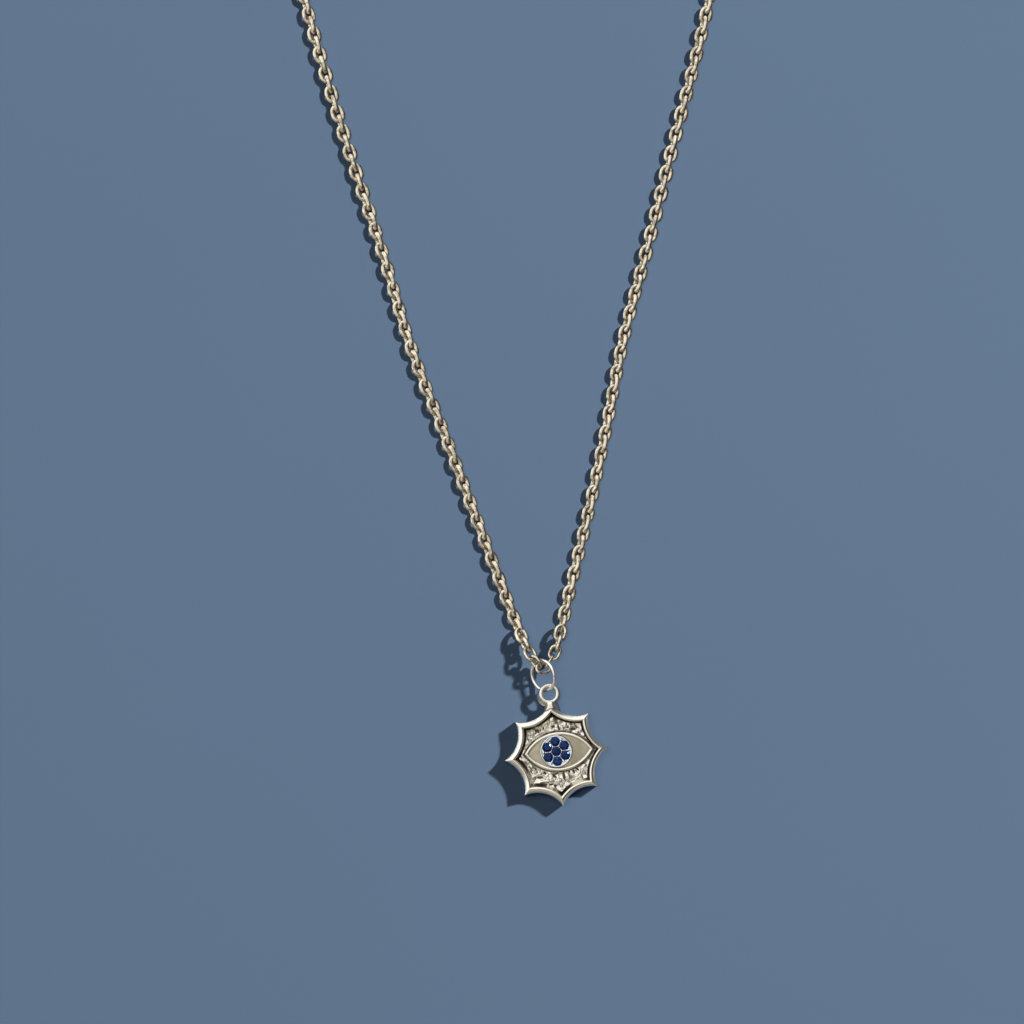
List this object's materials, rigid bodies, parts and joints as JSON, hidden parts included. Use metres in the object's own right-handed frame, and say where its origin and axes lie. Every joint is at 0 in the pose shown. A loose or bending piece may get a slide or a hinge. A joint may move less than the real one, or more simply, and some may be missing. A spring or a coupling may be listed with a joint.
{
  "type": "evil eye pendant necklace",
  "caption": "Fine cable chain necklace laid flat, with a star pendant whose raised rim frames an eye set with round dark stones; jump ring bail and round clasp.",
  "frame": {"origin": "middle of the star's flat back, on the surface that the necklace lies on", "axes": "+Z out of the star's front, +Y from the star towards its hanging loop and along the necklace"},
  "size_m": [0.0844, 0.2125, 0.003],
  "materials": {
    "cast_gold": "polished cast rim, chiselled field, satin white of the eye",
    "white_metal": "polished",
    "blue_stone": "faceted, polished",
    "ring_gold": "polished wire",
    "chain_gold": "polished wire links",
    "clasp_gold": "polished tube"
  },
  "bodies": {
    "root": {"pendant_body": "cast_gold", "iris_setting": "white_metal", "clasp": "clasp_gold", "chain_left": "chain_gold", "chain_right": "chain_gold", "stone_center": "blue_stone", "stone_1": "blue_stone", "stone_2": "blue_stone", "stone_3": "blue_stone", "stone_4": "blue_stone", "stone_5": "blue_stone", "stone_6": "blue_stone", "link_mid": "chain_gold", "link_left_1": "chain_gold", "link_left_2": "chain_gold", "link_right_1": "chain_gold", "link_right_2": "chain_gold", "link_left_end": "chain_gold", "link_right_end": "chain_gold", "bail_ring": "ring_gold", "end_ring_left": "ring_gold", "end_ring_right": "ring_gold"}
  },
  "joints": []
}
